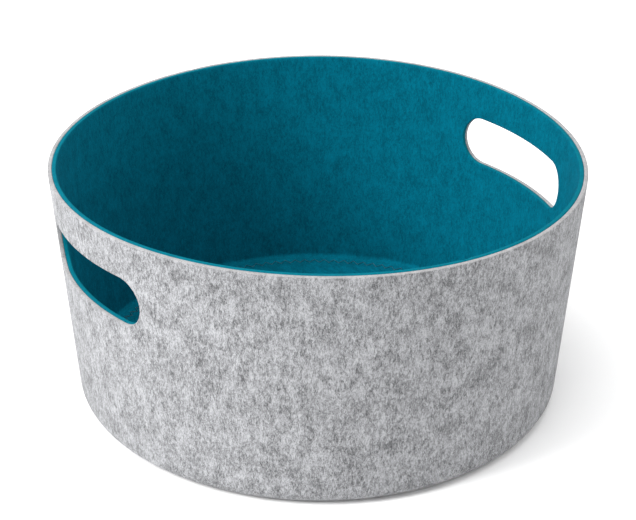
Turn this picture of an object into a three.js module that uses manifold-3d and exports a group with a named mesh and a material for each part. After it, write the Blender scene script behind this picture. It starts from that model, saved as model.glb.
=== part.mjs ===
// Round storage bin of two felt tubs, one inside the other, with a stiff board sealed between their bases.
// Millimetres, +Z up. The bin stands on z = 0, its axis is Z, and its two hand slots face +X and -X.
import * as THREE from "three";
import { mergeVertices } from "three/addons/utils/BufferGeometryUtils.js";
import Module from "manifold-3d";

const wasm = await Module();
wasm.setup();

// Driving dimensions
const height = 180;
const rimRadius = 190.5; // outer face at the cut rim
const footRadius = 178; // outer face, carried straight down to the floor
const outerFelt = 3;
const liningFelt = 3;
const outerCorner = 12; // outside radius where the outer wall turns in under the base
const liningCorner = 6; // outside radius where the lining wall turns in onto the board
const turnIn = 5; // flat width of a wall's bottom edge, past its corner
const boardThickness = 2.5;
const slotLength = 127; // measured round the wall
const slotHeight = 37; // measured up the wall; the ends are full half circles
const slotBelowRim = 28.6; // rim to the slot's upper edge
const threadDiameter = 0.6;
const stitchWidth = 5; // zigzag, side to side
const stitchPitch = 8; // one full zigzag
const seamStart = 3; // wall seam: first stitch above the corner
const seamStop = 4; // wall seam: last stitch below the rim

// Clearances
const fit = 0.3; // between any two pieces that touch, which is also the glue line between the tubs
const threadSink = 0.1; // a stitch lies this far below the felt's face
const grooveMargin = 0.4; // side room for the stitches in the channel that they press into the felt

// How finely the round shapes are divided
const roundSides = 72;
const cornerSteps = 4;
const slotEndSteps = 7;
const slotSideSteps = 10;

// The wall is a cone. A depth is measured square to its outer face, inwards.
const slope = Math.atan2(rimRadius - footRadius, height);
const slantLength = height / Math.cos(slope);
const grooveDepth = threadSink + threadDiameter + fit;
const grooveHalf = stitchWidth / 2 + threadDiameter / 2 + grooveMargin;
const liningDepth = outerFelt + fit;
const wallDepth = liningDepth + liningFelt;

function faceRadius(depth, z) {
  return footRadius + z * Math.tan(slope) - depth / Math.cos(slope);
}

// The two tubs share one section: a straight wall, a round corner and a short flat edge turned in.
function tub(depth, felt, floor, corner) {
  const centreZ = floor + corner;
  const centreR = faceRadius(depth + corner, centreZ);
  const edge = centreR - turnIn;
  return { depth, felt, floor, corner, centreZ, centreR, edge, seam: edge - fit / 2, disc: edge - fit };
}

const boardFloor = outerFelt + fit;
const outerTub = tub(0, outerFelt, 0, outerCorner);
const liningTub = tub(liningDepth, liningFelt, boardFloor + boardThickness + fit, liningCorner);

// Solids and booleans
function solid(geometry) {
  geometry.deleteAttribute("normal");
  geometry.deleteAttribute("uv");
  const merged = mergeVertices(geometry);
  const mesh = new wasm.Mesh({
    numProp: 3,
    vertProperties: new Float32Array(merged.attributes.position.array),
    triVerts: new Uint32Array(merged.index.array),
  });
  return new wasm.Manifold(mesh);
}

function geometryOf(manifold) {
  const mesh = manifold.getMesh();
  const geometry = new THREE.BufferGeometry();
  geometry.setAttribute("position", new THREE.BufferAttribute(mesh.vertProperties, 3));
  geometry.setIndex(new THREE.BufferAttribute(mesh.triVerts, 1));
  geometry.computeVertexNormals();
  return geometry;
}

// Turns a profile of [radius, z] points, anticlockwise with the axis on the left, about Z.
function turned(profile) {
  const points = profile.map(([r, z]) => new THREE.Vector2(r, z));
  return new THREE.LatheGeometry(points, roundSides).rotateX(Math.PI / 2);
}

function arc(centreR, centreZ, radius, from, to) {
  const points = [];
  for (let i = 0; i <= cornerSteps; i++) {
    const angle = from + ((to - from) * i) / cornerSteps;
    points.push([centreR + radius * Math.cos(angle), centreZ + radius * Math.sin(angle)]);
  }
  return points;
}

// The stitches press a shallow channel into the face they lie on: the underside of the outer tub and
// the upper side of the lining tub.
function wallProfile({ depth, felt, floor, corner, centreZ, centreR, edge, seam }, threadUnder) {
  const top = floor + felt;
  const channel = seam + grooveHalf;
  const underEdge = [[channel, floor], [channel, floor + grooveDepth], [edge, floor + grooveDepth]];
  const overEdge = [[edge, top - grooveDepth], [channel, top - grooveDepth], [channel, top]];
  const profile = [
    ...(threadUnder ? underEdge.reverse() : [[edge, floor]]),
    ...arc(centreR, centreZ, corner, -Math.PI / 2, -slope),
    [faceRadius(depth, height), height],
    [faceRadius(depth + felt, height), height],
    ...arc(centreR, centreZ, corner - felt, -slope, -Math.PI / 2),
    ...(threadUnder ? [[edge, top]] : overEdge.reverse()),
  ];
  return [...profile, profile[0]];
}

function baseProfile({ felt, floor, seam, disc }, threadUnder) {
  const top = floor + felt;
  const channel = seam - grooveHalf;
  const under = [[channel, floor], [channel, floor + grooveDepth], [disc, floor + grooveDepth], [disc, top]];
  const over = [[disc, floor], [disc, top - grooveDepth], [channel, top - grooveDepth], [channel, top]];
  return [[0, floor], ...(threadUnder ? under : over), [0, top]];
}

// A wall seam runs up the cone at the back (+Y) or the front (-Y). Its frame has x across the seam,
// y up the slant and z straight out of the felt's sewn face, with its origin at the height of the floor.
function seamFrame({ depth, felt }, onOuterFace) {
  const side = onOuterFace ? 1 : -1;
  const faceDepth = onOuterFace ? depth : depth + felt;
  const up = new THREE.Vector3(0, side * Math.sin(slope), Math.cos(slope));
  const out = new THREE.Vector3(0, Math.cos(slope), -side * Math.sin(slope));
  const across = new THREE.Vector3().crossVectors(up, out);
  const frame = new THREE.Matrix4().makeBasis(across, up, out);
  return frame.setPosition(0, side * faceRadius(faceDepth, 0), 0);
}

function seamSpan({ centreZ }) {
  return { low: centreZ / Math.cos(slope) + seamStart, high: slantLength - seamStop };
}

function seamChannel(tubShape, onOuterFace) {
  const { low, high } = seamSpan(tubShape);
  const length = high - low + 2 * grooveMargin;
  const channel = new THREE.BoxGeometry(2 * grooveHalf, length, 2 * grooveDepth);
  channel.translate(0, (low + high) / 2, 0);
  return solid(channel.applyMatrix4(seamFrame(tubShape, onOuterFace)));
}

// The gap between the butted edges of a wall, from below its turned edge to above its rim.
function seamSlit({ floor, edge }, onOuterFace) {
  const side = onOuterFace ? 1 : -1;
  const inner = edge - turnIn;
  const outer = rimRadius + turnIn;
  const slit = new THREE.BoxGeometry(fit, outer - inner, height - floor + 2 * outerFelt);
  slit.translate(0, (side * (inner + outer)) / 2, (floor + height) / 2);
  return solid(slit);
}

// A hand slot is cut square to the felt all round, so its cutter is a flat stadium wrapped on the cone.
function slotCutter(turn) {
  const round = slotHeight / 2;
  const straight = slotLength / 2 - round;
  const outline = new THREE.Shape();
  outline.moveTo(-straight, -round);
  for (let i = 1; i <= slotSideSteps; i++) {
    outline.lineTo(straight * ((2 * i) / slotSideSteps - 1), -round);
  }
  outline.absarc(straight, 0, round, -Math.PI / 2, Math.PI / 2, false);
  for (let i = 1; i <= slotSideSteps; i++) {
    outline.lineTo(straight * (1 - (2 * i) / slotSideSteps), round);
  }
  outline.absarc(-straight, 0, round, Math.PI / 2, (3 * Math.PI) / 2, false);

  // The cutter's flat ends are chords of the curved wall, so they stand clear of it by their own sag.
  const centreSlant = slantLength - slotBelowRim - round;
  const wrapRadius = faceRadius(0, centreSlant * Math.cos(slope));
  const reach = 2 * wrapRadius * (1 - Math.cos(slotLength / 2 / wrapRadius));
  const depth = wallDepth + 2 * reach;
  const cutter = new THREE.ExtrudeGeometry(outline, { depth, bevelEnabled: false, curveSegments: slotEndSteps });
  const position = cutter.attributes.position;
  for (let i = 0; i < position.count; i++) {
    const angle = position.getX(i) / wrapRadius;
    const slant = centreSlant + position.getY(i);
    const out = position.getZ(i) - wallDepth - reach;
    const radius = footRadius + slant * Math.sin(slope) + out * Math.cos(slope);
    const z = slant * Math.cos(slope) - out * Math.sin(slope);
    position.setXYZ(i, radius * Math.cos(angle), radius * Math.sin(angle), z);
  }
  return solid(cutter.rotateZ(turn));
}

function wall(tubShape, onOuterFace) {
  return geometryOf(
    solid(turned(wallProfile(tubShape, onOuterFace)))
      .subtract(slotCutter(0))
      .subtract(slotCutter(Math.PI))
      .subtract(seamSlit(tubShape, onOuterFace))
      .subtract(seamChannel(tubShape, onOuterFace)),
  );
}

// A zigzag thread through corners that lie to the left and right of the seam in turn.
class Zigzag extends THREE.Curve {
  constructor(legs, cornerAt) {
    super();
    this.legs = legs;
    this.cornerAt = cornerAt;
    this.arcLengthDivisions = legs;
  }

  getPoint(t) {
    const along = t * this.legs;
    const leg = Math.min(Math.floor(along), this.legs - 1);
    return this.cornerAt(leg).lerp(this.cornerAt(leg + 1), along - leg);
  }
}

function thread(legs, cornerAt) {
  const r = threadDiameter / 2;
  const section = new THREE.Shape([
    new THREE.Vector2(r, 0),
    new THREE.Vector2(0, r),
    new THREE.Vector2(-r, 0),
    new THREE.Vector2(0, -r),
  ]);
  const path = new Zigzag(legs, cornerAt);
  return geometryOf(solid(new THREE.ExtrudeGeometry(section, { steps: legs, extrudePath: path })));
}

function alternate(i) {
  return (i % 2 === 0 ? 1 : -1) * (stitchWidth / 2);
}

function wallThread(tubShape, onOuterFace) {
  const { low, high } = seamSpan(tubShape);
  const legs = Math.round((high - low) / (stitchPitch / 2));
  const frame = seamFrame(tubShape, onOuterFace);
  const cornerAt = (i) =>
    new THREE.Vector3(alternate(i), low + ((high - low) * i) / legs, -threadSink - threadDiameter / 2)
      .applyMatrix4(frame);
  return thread(legs, cornerAt);
}

// A base seam goes once round and stops one leg short of its start.
function baseThread({ felt, floor, seam }, threadUnder) {
  const places = 2 * Math.round((2 * Math.PI * seam) / stitchPitch);
  const sink = threadSink + threadDiameter / 2;
  const z = threadUnder ? floor + sink : floor + felt - sink;
  const cornerAt = (i) => {
    const angle = (2 * Math.PI * i) / places;
    const radius = seam + alternate(i);
    return new THREE.Vector3(radius * Math.cos(angle), radius * Math.sin(angle), z);
  };
  return thread(places - 1, cornerAt);
}

function stiffBoard() {
  const board = new THREE.CylinderGeometry(outerTub.centreR, outerTub.centreR, boardThickness, roundSides);
  return board.rotateX(Math.PI / 2).translate(0, 0, boardFloor + boardThickness / 2);
}

const greyFelt = new THREE.MeshStandardMaterial({ color: 0xb9bcc0, roughness: 0.95, metalness: 0 });
const tealFelt = new THREE.MeshStandardMaterial({ color: 0x007894, roughness: 0.95, metalness: 0 });
const greyboard = new THREE.MeshStandardMaterial({ color: 0x9a8f80, roughness: 0.9, metalness: 0 });
const greyThread = new THREE.MeshStandardMaterial({ color: 0xa4a7ab, roughness: 0.6, metalness: 0 });
const tealThread = new THREE.MeshStandardMaterial({ color: 0x00607a, roughness: 0.6, metalness: 0 });

const bin = new THREE.Group();

function add(name, geometry, material) {
  const mesh = new THREE.Mesh(geometry, material);
  mesh.name = name;
  bin.add(mesh);
}

add("outer_wall", wall(outerTub, true), greyFelt);
add("outer_base", turned(baseProfile(outerTub, true)), greyFelt);
add("base_board", stiffBoard(), greyboard);
add("lining_wall", wall(liningTub, false), tealFelt);
add("lining_base", turned(baseProfile(liningTub, false)), tealFelt);
add("outer_wall_seam_thread", wallThread(outerTub, true), greyThread);
add("outer_base_seam_thread", baseThread(outerTub, true), greyThread);
add("lining_wall_seam_thread", wallThread(liningTub, false), tealThread);
add("lining_base_seam_thread", baseThread(liningTub, false), tealThread);

export default bin;
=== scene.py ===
"""A round storage bin of two felt tubs, one glued inside the other. Each felt piece is cut flat, as a felt
cutter would, and then rolled up into its tub. Metres, in the frame's own axes: the bin stands on z = 0."""
import math

import bmesh
import bpy
from mathutils import Matrix, Vector


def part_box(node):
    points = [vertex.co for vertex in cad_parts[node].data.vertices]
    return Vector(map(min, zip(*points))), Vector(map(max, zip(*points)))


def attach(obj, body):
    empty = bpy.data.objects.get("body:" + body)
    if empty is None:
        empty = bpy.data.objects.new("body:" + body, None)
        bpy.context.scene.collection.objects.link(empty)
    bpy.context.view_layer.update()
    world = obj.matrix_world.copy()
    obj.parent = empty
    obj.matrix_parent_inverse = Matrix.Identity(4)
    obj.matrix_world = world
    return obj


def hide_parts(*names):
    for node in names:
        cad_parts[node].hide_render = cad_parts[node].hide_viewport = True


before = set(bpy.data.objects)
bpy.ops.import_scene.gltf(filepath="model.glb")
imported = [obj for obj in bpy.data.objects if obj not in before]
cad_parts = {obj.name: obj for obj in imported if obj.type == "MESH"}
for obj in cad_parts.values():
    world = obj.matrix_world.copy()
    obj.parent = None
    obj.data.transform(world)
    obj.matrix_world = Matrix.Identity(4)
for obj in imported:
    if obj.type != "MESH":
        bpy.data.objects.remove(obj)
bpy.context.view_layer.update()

MM = 0.001

# ---------------------------------------------------------------- sizes, from the frame where it has them

_, wall_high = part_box("outer_wall")
base_low, base_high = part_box("outer_base")
floor_low, floor_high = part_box("lining_base")

HEIGHT = wall_high.z
RIM_RADIUS = wall_high.x
FOOT_RADIUS = 178 * MM
OUTER_FELT = base_high.z - base_low.z
LINING_FELT = floor_high.z - floor_low.z
OUTER_CORNER = 12 * MM
LINING_CORNER = 6 * MM
GLUE_LINE = 0.08 * MM
LINING_DEPTH = OUTER_FELT + GLUE_LINE
SLOT_LENGTH = 127 * MM
SLOT_HEIGHT = 37 * MM
SLOT_BELOW_RIM = 28.6 * MM
STITCH_WIDTH = 5 * MM
STITCH_PITCH = 8 * MM
THREAD_RADIUS = 0.28 * MM
BUTT_GAP = 0.25 * MM
CUT_ROUNDING = 0.55 * MM
SLOT_BORDER = 6.5 * MM
PRESS_DEPTH = 0.7 * MM
PRESS_FADE = 2 * MM
SLOT_LIFT = 20 * MM

# how far the foot and the rim are out of round, and which way
FOOT_SQUEEZE = 0.006
FOOT_TURN = 1.7
RIM_SQUEEZE = 0.0161
RIM_TURN = 0.215
RIM_RISE = 2.06 * MM

# how finely the felt is divided
WALL_COLUMNS = 320
WALL_ROWS = 58
DISC_SIDES = 372

SLOPE = math.atan2(RIM_RADIUS - FOOT_RADIUS, HEIGHT)
SLANT = HEIGHT / math.cos(SLOPE)
SLOT_SLANT = SLANT - SLOT_BELOW_RIM - SLOT_HEIGHT / 2
WRAP_RADIUS = FOOT_RADIUS + SLOT_SLANT * math.sin(SLOPE)
ROUND = 2 * math.pi * WRAP_RADIUS


class Tub:
    """One tub's section: a flat edge turned in, a round corner and a straight wall. Depth is measured
    square to the bin's outer face, inwards."""

    def __init__(self, name, depth, felt, floor, corner, edge, seam_azimuth, sewn_outside):
        self.name = name
        self.depth = depth
        self.felt = felt
        self.floor = floor
        self.corner = corner
        self.centre_slant = (floor + corner - (depth + corner) * math.sin(SLOPE)) / math.cos(SLOPE)
        outer_face = FOOT_RADIUS + self.centre_slant * math.sin(SLOPE)
        self.centre_r = outer_face - (depth + corner) * math.cos(SLOPE)
        self.edge = edge
        self.turn_in = self.centre_r - edge
        self.arc = corner * (math.pi / 2 - SLOPE)
        self.length = self.turn_in + self.arc + SLANT - self.centre_slant
        self.seam_azimuth = seam_azimuth
        self.sewn_outside = sewn_outside

    def along(self, slant):
        """The place along the strip, from its bottom edge, of a place up the wall's slant."""
        return self.turn_in + self.arc + slant - self.centre_slant

    def section(self, y, z):
        """(radius, height) at y along the strip and z out of its outer face."""
        if y < self.turn_in:
            return self.edge + y, self.floor - z
        if y < self.turn_in + self.arc:
            angle = -math.pi / 2 + (y - self.turn_in) / self.corner
            reach = self.corner + z
            height = self.floor + self.corner + reach * math.sin(angle)
            return self.centre_r + reach * math.cos(angle), height
        slant = self.centre_slant + y - self.turn_in - self.arc
        out = z - self.depth
        radius = FOOT_RADIUS + slant * math.sin(SLOPE) + out * math.cos(SLOPE)
        return radius, slant * math.cos(SLOPE) - out * math.sin(SLOPE)

    def rolled(self, flat):
        radius, height = self.section(flat.y, flat.z)
        angle = self.seam_azimuth + flat.x / WRAP_RADIUS
        return settled(Vector((radius * math.cos(angle), radius * math.sin(angle), height)))


def settled(point):
    """A felt wall never stands perfectly round. The board keeps the foot near its circle, but the rim is
    drawn in along one diagonal, where it also rises a little, and pushed out along the other."""
    up = min(max(point.z / HEIGHT, 0), 1)
    azimuth = math.atan2(point.y, point.x)
    foot = FOOT_SQUEEZE * math.sin(2 * azimuth + FOOT_TURN)
    rim = RIM_SQUEEZE * math.sin(2 * azimuth + RIM_TURN)
    rise = RIM_RISE * up * up * math.sin(2 * azimuth)
    k = 1 - foot * (1 - up) - rim * up
    return Vector((point.x * k, point.y * k, point.z + rise))


outer_tub = Tub("outer", 0, OUTER_FELT, 0, OUTER_CORNER, base_high.x + BUTT_GAP, math.pi / 2, True)
lining_tub = Tub("lining", LINING_DEPTH, LINING_FELT, floor_low.z, LINING_CORNER, floor_high.x + BUTT_GAP,
                 -math.pi / 2, False)

# ---------------------------------------------------------------- camera


VIEW_AZIMUTH = math.radians(-30.8)


def add_camera():
    """Stands where one hand slot shows at the front left and the other at the back right."""
    elevation = math.radians(27.93)
    distance = 7.93 * RIM_RADIUS
    target = Vector((0, 0, HEIGHT / 2))
    away = Vector((
        math.sin(VIEW_AZIMUTH) * math.cos(elevation),
        -math.cos(VIEW_AZIMUTH) * math.cos(elevation),
        math.sin(elevation),
    ))
    camera = bpy.data.objects.new("camera", bpy.data.cameras.new("camera"))
    camera.data.sensor_width = 36
    camera.data.lens = 116
    camera.data.shift_x = 0.0011
    camera.data.shift_y = 0.0113
    camera.location = target + away * distance
    camera.rotation_mode = "QUATERNION"
    camera.rotation_quaternion = (-away).to_track_quat("-Z", "Y")
    bpy.context.scene.collection.objects.link(camera)
    bpy.context.scene.camera = camera


add_camera()

# ---------------------------------------------------------------- cutting and rolling the felt

FACE, CUT = 0, 1


def smooth(edge0, edge1, x):
    t = min(max((x - edge0) / (edge1 - edge0), 0), 1)
    return t * t * (3 - 2 * t)


def cut_across(bm, places, axis):
    """Extra grid lines across a flat piece, where it bends or is pressed tightly."""
    normal = Vector((1, 0, 0)) if axis == "x" else Vector((0, 1, 0))
    for place in places:
        bmesh.ops.bisect_plane(bm, geom=bm.verts[:] + bm.edges[:] + bm.faces[:], dist=1e-7,
                               plane_co=normal * place, plane_no=normal)


def cut_hand_slot(bm, centre):
    """Cuts a stadium out of a flat grid and joins its edge to the grid by rings of faces."""
    half_x = SLOT_LENGTH / 2 + SLOT_BORDER
    half_y = SLOT_HEIGHT / 2 + SLOT_BORDER
    inside = {
        f for f in bm.faces
        if abs(f.calc_center_median().x - centre.x) < half_x
        and abs(f.calc_center_median().y - centre.y) < half_y
    }
    keep = [e for e in {e for f in inside for e in f.edges} if any(f not in inside for f in e.link_faces)]
    bmesh.ops.delete(bm, geom=list(inside), context="FACES")

    # the two ends are half circles of an odd number of steps, so that no point lies on the straights;
    # the ring is lifted off the grid until it is joined, so that the faces between can't fold over
    end_steps = 25
    round_end = SLOT_HEIGHT / 2
    straight = SLOT_LENGTH / 2 - round_end
    lifted = centre + Vector((0, 0, SLOT_LIFT))
    ring = bmesh.ops.create_circle(bm, cap_ends=False, segments=2 * end_steps, radius=round_end)["verts"]
    quarter_turn = Matrix.Rotation(math.pi / 2, 4, "Z")
    bmesh.ops.transform(bm, matrix=quarter_turn, verts=ring)
    for v in ring:
        v.co.x += math.copysign(straight, v.co.x)
        v.co += lifted
    ring_edges = {e for v in ring for e in v.link_edges}
    long_edges = [e for e in ring_edges if e.calc_length() > straight]
    cuts = len(keep) // 2 - end_steps
    added = bmesh.ops.subdivide_edges(bm, edges=long_edges, cuts=cuts)["geom_split"]
    ring_edges = {e for e in ring_edges if e.is_valid}
    ring_edges |= {e for e in added if isinstance(e, bmesh.types.BMEdge)}
    rungs = bmesh.ops.bridge_loops(bm, edges=keep + list(ring_edges))["edges"]
    bmesh.ops.subdivide_edges(bm, edges=rungs, cuts=2)
    for v in bm.verts:
        v.co.z = 0


def rounded_slab(bm, thickness):
    """Gives a flat cut piece its thickness, below z = 0, and softens all its cut edges."""
    added = bmesh.ops.extrude_face_region(bm, geom=bm.faces[:])["geom"]
    lower = [v for v in added if isinstance(v, bmesh.types.BMVert)]
    bmesh.ops.translate(bm, vec=(0, 0, -thickness), verts=lower)
    bmesh.ops.recalc_face_normals(bm, faces=bm.faces[:])
    sharp = [
        e for e in bm.edges
        if len(e.link_faces) == 2 and abs(e.link_faces[0].normal.z) + abs(e.link_faces[1].normal.z) < 1.5
        and e.calc_face_angle() > 1
        and abs(e.verts[0].co.z - e.verts[1].co.z) < 1e-6
    ]
    bmesh.ops.bevel(bm, geom=sharp, offset=CUT_ROUNDING, segments=3, profile=0.5,
                    affect="EDGES", material=-1)
    for f in bm.faces:
        f.material_index = FACE if abs(f.normal.z) > 0.8 else CUT
        f.smooth = True


def press_strip(bm, tub):
    """The stitches draw the felt in: along the strip's two butted ends and along its bottom edge the sewn
    face sinks."""
    reach = STITCH_WIDTH / 2
    for v in bm.verts:
        on_outer_face = v.co.z > -tub.felt / 2
        if on_outer_face != tub.sewn_outside:
            continue
        end = min(v.co.x, ROUND - v.co.x)
        sunk = 1 - smooth(reach, reach + PRESS_FADE, end)
        sunk = max(sunk, 1 - smooth(reach, reach + PRESS_FADE, v.co.y))
        v.co.z += (-1 if tub.sewn_outside else 1) * PRESS_DEPTH * sunk


def finished(name, bm, materials, node):
    bmesh.ops.recalc_face_normals(bm, faces=bm.faces[:])
    mesh = bpy.data.meshes.new(name)
    bm.to_mesh(mesh)
    bm.free()
    piece = bpy.data.objects.new(name, mesh)
    bpy.context.scene.collection.objects.link(piece)
    for material in materials:
        mesh.materials.append(material)
    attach(piece, "root")
    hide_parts(node)
    return piece


def felt_wall(tub, materials):
    bm = bmesh.new()
    bmesh.ops.create_grid(bm, x_segments=WALL_COLUMNS, y_segments=WALL_ROWS, size=0.5)
    width = ROUND - BUTT_GAP
    bmesh.ops.scale(bm, vec=(width, tub.length, 1), verts=bm.verts[:])
    bmesh.ops.translate(bm, vec=(ROUND / 2, tub.length / 2, 0), verts=bm.verts[:])
    for quarter in (ROUND / 4, 3 * ROUND / 4):
        cut_hand_slot(bm, Vector((quarter, tub.along(SLOT_SLANT), 0)))
    near_seam = [k * MM for k in (1.0, 2.0, 3.0, 5.0)]
    near_ends = [BUTT_GAP / 2 + x for x in near_seam]
    near_ends += [ROUND - BUTT_GAP / 2 - x for x in near_seam]
    cut_across(bm, near_ends, "x")
    bend = tub.turn_in + tub.arc
    cut_across(bm, [bend * k / 12 for k in range(1, 13)] + [bend + 1.5 * MM], "y")
    rounded_slab(bm, tub.felt)
    press_strip(bm, tub)
    for v in bm.verts:
        v.co = tub.rolled(v.co)
    node = f"{tub.name}_wall"
    piece = finished(f"{tub.name}_wall_felt", bm, materials, node)
    far = RIM_RADIUS / math.sin(SLOPE)
    angle = 2 * math.pi * math.sin(SLOPE)
    near = far - tub.length
    area = angle * (far * far - near * near) / 2
    area -= 2 * (SLOT_LENGTH - SLOT_HEIGHT) * SLOT_HEIGHT + 2 * math.pi * (SLOT_HEIGHT / 2) ** 2
    return piece


def felt_disc(tub, radius, materials):
    """A disc spun from its section, with the sewn face pressed in near its edge."""
    r = CUT_ROUNDING
    top = tub.felt
    rings = 26
    inner = radius - 9 * MM
    near_edge = [radius - k * MM for k in (7.5, 6.0, 5.0, 4.0, 3.0, 2.2, 1.5)]
    out = [inner * k / rings for k in range(rings + 1)] + near_edge
    turns = (0, math.pi / 6, math.pi / 3, math.pi / 2)
    corner = [(radius - r + r * math.sin(a), r - r * math.cos(a)) for a in turns]
    section = [(x, 0) for x in out] + corner
    section += [(x, top - z) for x, z in reversed(section)]
    bm = bmesh.new()
    points = [bm.verts.new((x, 0, z)) for x, z in section]
    edges = [bm.edges.new(pair) for pair in zip(points, points[1:])]
    bmesh.ops.spin(bm, geom=points + edges, cent=(0, 0, 0), axis=(0, 0, 1), angle=2 * math.pi,
                   steps=DISC_SIDES, use_merge=True)
    bmesh.ops.remove_doubles(bm, verts=bm.verts[:], dist=1e-6)
    bmesh.ops.recalc_face_normals(bm, faces=bm.faces[:])
    for f in bm.faces:
        f.material_index = FACE if abs(f.normal.z) > 0.8 else CUT
        f.smooth = True
    for v in bm.verts:
        sewn = (v.co.z < top / 2) == tub.sewn_outside
        from_edge = radius - math.hypot(v.co.x, v.co.y)
        sunk = 1 - smooth(STITCH_WIDTH / 2, STITCH_WIDTH / 2 + PRESS_FADE, from_edge)
        if sewn:
            v.co.z += (1 if tub.sewn_outside else -1) * PRESS_DEPTH * sunk
        v.co.z += tub.floor
        v.co = settled(v.co)
    piece = finished(f"{tub.name}_base_felt", bm, materials, f"{tub.name}_base")
    return piece


# ---------------------------------------------------------------- zigzag seams


def stitch_leg(length):
    """One visible leg of a zigzag: it comes up out of its needle hole, lies on the felt and dives again."""
    bm = bmesh.new()
    ring = bmesh.ops.create_circle(bm, cap_ends=False, segments=8, radius=THREAD_RADIUS)["verts"]
    upright = Matrix.Rotation(math.pi / 2, 3, "Y")
    bmesh.ops.rotate(bm, cent=(0, 0, 0), matrix=upright, verts=ring)
    edges = list({e for v in ring for e in v.link_edges})
    half = length / 2
    dive = 0.55 * MM
    stations = [(-half, -dive, 75), (-half + 0.05 * MM, -0.3 * dive, 60), (-half + 0.3 * MM, 0.1 * dive, 25)]
    stations += [(-half / 2, 0.02 * MM, 0), (0, -0.02 * MM, 0)]
    stations += [(-x, z, -tilt) for x, z, tilt in reversed(stations[:-1])]
    x, z, tilt = stations[0]
    at = Vector((x, 0, z))
    turn = Matrix.Rotation(math.radians(-tilt), 3, "Y")
    bmesh.ops.rotate(bm, cent=(0, 0, 0), matrix=turn, verts=ring)
    bmesh.ops.translate(bm, vec=at, verts=ring)
    for x, z, next_tilt in stations[1:]:
        added = bmesh.ops.extrude_edge_only(bm, edges=edges)["geom"]
        ring = [v for v in added if isinstance(v, bmesh.types.BMVert)]
        edges = [e for e in added if isinstance(e, bmesh.types.BMEdge)]
        move = Vector((x, 0, z)) - at
        turn = Matrix.Rotation(math.radians(tilt - next_tilt), 3, "Y")
        bmesh.ops.rotate(bm, cent=at, matrix=turn, verts=ring)
        bmesh.ops.translate(bm, vec=move, verts=ring)
        at, tilt = Vector((x, 0, z)), next_tilt
    bmesh.ops.holes_fill(bm, edges=[e for e in bm.edges if e.is_boundary], sides=8)
    bmesh.ops.recalc_face_normals(bm, faces=bm.faces[:])
    mesh = bpy.data.meshes.new("stitch")
    bm.to_mesh(mesh)
    bm.free()
    return mesh


def sew(name, corners, out_of_felt, material, node):
    """Lays one leg between each two needle holes in turn."""
    bm = bmesh.new()
    length = (corners[1] - corners[0]).length
    leg = stitch_leg(length)
    for a, b in zip(corners, corners[1:]):
        along = (b - a).normalized()
        up = (out_of_felt - along * out_of_felt.dot(along)).normalized()
        place = Matrix((along, up.cross(along), up)).transposed().to_4x4()
        place.translation = (a + b) / 2
        first = len(bm.verts)
        bm.from_mesh(leg)
        bm.verts.ensure_lookup_table()
        bmesh.ops.transform(bm, matrix=place, verts=bm.verts[first:])
    bpy.data.meshes.remove(leg)
    for f in bm.faces:
        f.smooth = True
    return finished(name, bm, [material], node)


def wall_stitches(tub, material):
    low = tub.along(tub.centre_slant) + 3 * MM
    high = tub.along(SLANT) - 2.5 * MM
    legs = round((high - low) / (STITCH_PITCH / 2))
    sunk = PRESS_DEPTH - THREAD_RADIUS
    z = -sunk if tub.sewn_outside else sunk - tub.felt
    side = STITCH_WIDTH / 2
    corners = [
        tub.rolled(Vector((side if k % 2 else -side, low + (high - low) * k / legs, z)))
        for k in range(legs + 1)
    ]
    middle = (low + high) / 2
    out = tub.rolled(Vector((0, middle, 1 * MM))) - tub.rolled(Vector((0, middle, 0)))
    if not tub.sewn_outside:
        out = -out
    return sew(f"{tub.name}_wall_stitches", corners, out, material,
               f"{tub.name}_wall_seam_thread")


def base_stitches(tub, material):
    seam = tub.edge - BUTT_GAP / 2
    places = 2 * round(2 * math.pi * seam / STITCH_PITCH)
    sunk = PRESS_DEPTH - THREAD_RADIUS
    z = tub.floor + sunk if tub.sewn_outside else tub.floor + tub.felt - sunk
    corners = []
    for k in range(places):
        angle = 2 * math.pi * k / places
        radius = seam + (STITCH_WIDTH / 2 if k % 2 else -STITCH_WIDTH / 2)
        corners.append(settled(Vector((radius * math.cos(angle), radius * math.sin(angle), z))))
    out = Vector((0, 0, -1 if tub.sewn_outside else 1))
    return sew(f"{tub.name}_base_stitches", corners, out, material,
               f"{tub.name}_base_seam_thread")


# ---------------------------------------------------------------- materials


def new_socket(group, name, way, kind="NodeSocketFloat", value=None):
    socket = group.interface.new_socket(name=name, in_out=way, socket_type=kind)
    if value is not None:
        socket.default_value = value
    return socket


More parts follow.
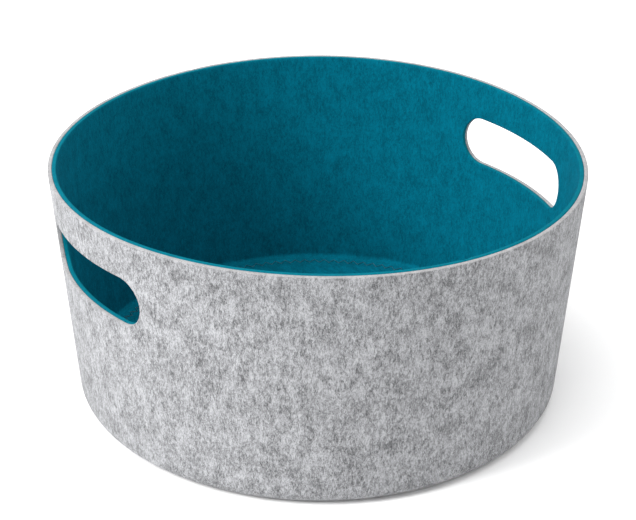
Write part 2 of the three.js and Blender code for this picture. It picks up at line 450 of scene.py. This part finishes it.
def felt_group():
    """The look of needled felt, from a position in millimetres. It gives out Dark (how many dark fibres lie
    at a place), Light (single pale fibres) and Height (the relief)."""
    group = bpy.data.node_groups.new("needled felt", "ShaderNodeTree")
    new_socket(group, "Position", "INPUT", "NodeSocketVector")
    for name in ("Dark", "Light", "Height"):
        new_socket(group, name, "OUTPUT")
    nodes, links = group.nodes, group.links
    start = nodes.new("NodeGroupInput")
    end = nodes.new("NodeGroupOutput")

    def stretched_noise(scale, detail, roughness, distortion=0.0):
        mapping = nodes.new("ShaderNodeMapping")
        mapping.inputs["Scale"].default_value = scale
        links.new(start.outputs["Position"], mapping.inputs["Vector"])
        texture = nodes.new("ShaderNodeTexNoise")
        texture.inputs["Scale"].default_value = 1
        texture.inputs["Detail"].default_value = detail
        texture.inputs["Roughness"].default_value = roughness
        texture.inputs["Distortion"].default_value = distortion
        links.new(mapping.outputs["Vector"], texture.inputs["Vector"])
        return texture.outputs["Fac"]

    def ramp(value, low, high):
        step = nodes.new("ShaderNodeMapRange")
        step.interpolation_type = "SMOOTHSTEP"
        step.inputs["From Min"].default_value = low
        step.inputs["From Max"].default_value = high
        links.new(value, step.inputs["Value"])
        return step.outputs["Result"]

    def math_node(operation, a, b):
        node = nodes.new("ShaderNodeMath")
        node.operation = operation
        for socket, value in zip(node.inputs, (a, b)):
            if isinstance(value, (int, float)):
                socket.default_value = value
            else:
                links.new(value, socket)
        return node.outputs["Value"]

    def hairs(scale, width):
        """Thin wandering lines, where a stretched noise crosses its middle."""
        away = math_node("ABSOLUTE", math_node("SUBTRACT", stretched_noise(scale, 1, 0.4, 0.8), 0.5), 0)
        return ramp(away, width, 0)

    cloud = stretched_noise((0.10, 0.10, 0.07), 2, 0.5)
    coarse = stretched_noise((0.50, 0.50, 0.22), 3, 0.6, 0.4)
    streaks = stretched_noise((1.4, 1.4, 0.55), 4, 0.7, 0.6)
    fibre = stretched_noise((2.6, 2.6, 1.3), 4, 0.75, 1.0)
    blend = math_node("ADD", math_node("MULTIPLY", streaks, 0.60), math_node("MULTIPLY", coarse, 0.40))
    blend = math_node("ADD", blend, math_node("MULTIPLY", math_node("SUBTRACT", cloud, 0.5), 0.24))
    blend = math_node("ADD", blend, math_node("MULTIPLY", math_node("SUBTRACT", fibre, 0.5), 0.50))
    blend = math_node("SUBTRACT", blend, math_node("MULTIPLY", hairs((0.9, 0.9, 0.35), 0.02), 0.08))
    dark = ramp(blend, 0.67, 0.31)
    light = math_node("MAXIMUM", ramp(fibre, 0.55, 0.75), hairs((0.7, 0.7, 0.5), 0.016))
    height = math_node("ADD", math_node("MULTIPLY", fibre, 0.6), math_node("MULTIPLY", light, 0.3))
    for name, value in (("Dark", dark), ("Light", light), ("Height", height)):
        links.new(value, end.inputs[name])
    return group


FELT = felt_group()


UPRIGHT = (0, 0, 0)
LYING = (math.pi / 2, 0, 0)


def felt_material(name, base, dark, light, dark_share, light_share, lay=UPRIGHT, bump=0.35, sheen=0.1):
    material = bpy.data.materials.new(name)
    material.use_nodes = True
    nodes, links = material.node_tree.nodes, material.node_tree.links
    shader = nodes["Principled BSDF"]
    shader.inputs["Roughness"].default_value = 0.95
    shader.inputs["Specular IOR Level"].default_value = 0.04
    shader.inputs["Sheen Weight"].default_value = sheen
    shader.inputs["Sheen Roughness"].default_value = 0.6

    place = nodes.new("ShaderNodeTexCoord")
    mapping = nodes.new("ShaderNodeMapping")
    mapping.inputs["Rotation"].default_value = lay
    mapping.inputs["Scale"].default_value = (1000, 1000, 1000)
    links.new(place.outputs["Object"], mapping.inputs["Vector"])
    felt = nodes.new("ShaderNodeGroup")
    felt.node_tree = FELT
    links.new(mapping.outputs["Vector"], felt.inputs["Position"])

    def mixed(below, share, mask, above):
        weight = nodes.new("ShaderNodeMath")
        weight.operation = "MULTIPLY"
        weight.inputs[1].default_value = share
        links.new(mask, weight.inputs[0])
        mix = nodes.new("ShaderNodeMix")
        mix.data_type = "RGBA"
        links.new(weight.outputs["Value"], mix.inputs["Factor"])
        if isinstance(below, tuple):
            mix.inputs["A"].default_value = (*below, 1)
        else:
            links.new(below, mix.inputs["A"])
        mix.inputs["B"].default_value = (*above, 1)
        return mix.outputs["Result"]

    colour = mixed(base, light_share, felt.outputs["Light"], light)
    colour = mixed(colour, dark_share, felt.outputs["Dark"], dark)
    links.new(colour, shader.inputs["Base Color"])
    relief = nodes.new("ShaderNodeBump")
    relief.inputs["Strength"].default_value = bump
    relief.inputs["Distance"].default_value = 0.0006
    links.new(felt.outputs["Height"], relief.inputs["Height"])
    links.new(relief.outputs["Normal"], shader.inputs["Normal"])
    return material


def thread_material(name, colour):
    material = bpy.data.materials.new(name)
    material.use_nodes = True
    shader = material.node_tree.nodes["Principled BSDF"]
    shader.inputs["Base Color"].default_value = (*colour, 1)
    shader.inputs["Roughness"].default_value = 0.55
    shader.inputs["Sheen Weight"].default_value = 0.1
    return material


def grey_felt(name, lay):
    return felt_material(name, base=(0.400, 0.406, 0.421), dark=(0.035, 0.035, 0.037),
                         light=(0.50, 0.50, 0.508), dark_share=0.92, light_share=0.30, lay=lay)


def teal_felt(name, lay):
    return felt_material(name, base=(0.0, 0.148, 0.224), dark=(0.0, 0.030, 0.048), light=(0.002, 0.22, 0.30),
                         dark_share=0.65, light_share=0.5, lay=lay, sheen=0.0)


grey_wall = grey_felt("grey felt", UPRIGHT)
grey_base = grey_felt("grey felt, laid flat", LYING)
grey_cut = felt_material("grey felt, cut edge", base=(0.360, 0.360, 0.366), dark=(0.060, 0.060, 0.062),
                         light=(0.44, 0.44, 0.44), dark_share=0.55, light_share=0.2)
teal_wall = teal_felt("teal felt", UPRIGHT)
teal_base = teal_felt("teal felt, laid flat", LYING)
teal_cut = felt_material("teal felt, cut edge", base=(0.001, 0.136, 0.186), dark=(0.0, 0.055, 0.080),
                         light=(0.003, 0.192, 0.242), dark_share=0.5, light_share=0.3, sheen=0.0)
grey_thread = thread_material("light grey thread", (0.417, 0.417, 0.433))
teal_thread = thread_material("teal thread", (0.0, 0.092, 0.142))
board_material = felt_material("stiffener board", base=(0.36, 0.30, 0.23), dark=(0.2, 0.16, 0.12),
                               light=(0.5, 0.44, 0.36), dark_share=0.3, light_share=0.3, lay=LYING,
                               bump=0.1, sheen=0.0)

# ---------------------------------------------------------------- the pieces

felt_wall(outer_tub, [grey_wall, grey_cut])
felt_wall(lining_tub, [teal_wall, teal_cut])
felt_disc(outer_tub, base_high.x, [grey_base, grey_cut])
felt_disc(lining_tub, floor_high.x, [teal_base, teal_cut])
wall_stitches(outer_tub, grey_thread)
wall_stitches(lining_tub, teal_thread)
base_stitches(outer_tub, grey_thread)
base_stitches(lining_tub, teal_thread)
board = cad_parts["base_board"]
board.data.materials.clear()
board.data.materials.append(board_material)

# ---------------------------------------------------------------- floor and light


def add_floor():
    bm = bmesh.new()
    bmesh.ops.create_grid(bm, x_segments=1, y_segments=1, size=6)
    bmesh.ops.translate(bm, vec=(0, 0, -0.1 * MM), verts=bm.verts[:])
    mesh = bpy.data.meshes.new("floor")
    bm.to_mesh(mesh)
    bm.free()
    floor = bpy.data.objects.new("floor", mesh)
    bpy.context.scene.collection.objects.link(floor)
    material = bpy.data.materials.new("white floor")
    material.use_nodes = True
    shader = material.node_tree.nodes["Principled BSDF"]
    shader.inputs["Base Color"].default_value = (0.97, 0.97, 0.97, 1)
    shader.inputs["Roughness"].default_value = 0.9
    shader.inputs["Specular IOR Level"].default_value = 0.1
    mesh.materials.append(material)


def add_light(name, place, size, power, target=(0, 0, 0.08)):
    light = bpy.data.lights.new(name, "AREA")
    light.shape = "DISK"
    light.size = size
    light.energy = power
    lamp = bpy.data.objects.new(name, light)
    lamp.location = place
    lamp.rotation_mode = "QUATERNION"
    lamp.rotation_quaternion = (Vector(target) - Vector(place)).to_track_quat("-Z", "Y")
    bpy.context.scene.collection.objects.link(lamp)


def seen_from_camera(right, up, back):
    """A place given to the right of, above and behind the bin as the camera sees it."""
    across = Vector((math.cos(VIEW_AZIMUTH), math.sin(VIEW_AZIMUTH), 0))
    away = Vector((-math.sin(VIEW_AZIMUTH), math.cos(VIEW_AZIMUTH), 0))
    return across * right + away * back + Vector((0, 0, up))


def light_the_scene():
    world = bpy.data.worlds.new("soft studio")
    world.use_nodes = True
    background = world.node_tree.nodes["Background"]
    background.inputs["Color"].default_value = (1, 1, 1, 1)
    background.inputs["Strength"].default_value = 0.84
    bpy.context.scene.world = world
    add_light("key", seen_from_camera(-2.1, 1.7, -0.95), 1.4, 89)
    add_light("top", seen_from_camera(-0.1, 2.3, -0.4), 1.6, 24)
    add_light("fill", seen_from_camera(2.2, 0.9, 0.9), 1.2, 13)
    bpy.context.scene.view_settings.view_transform = "Standard"


add_floor()
light_the_scene()
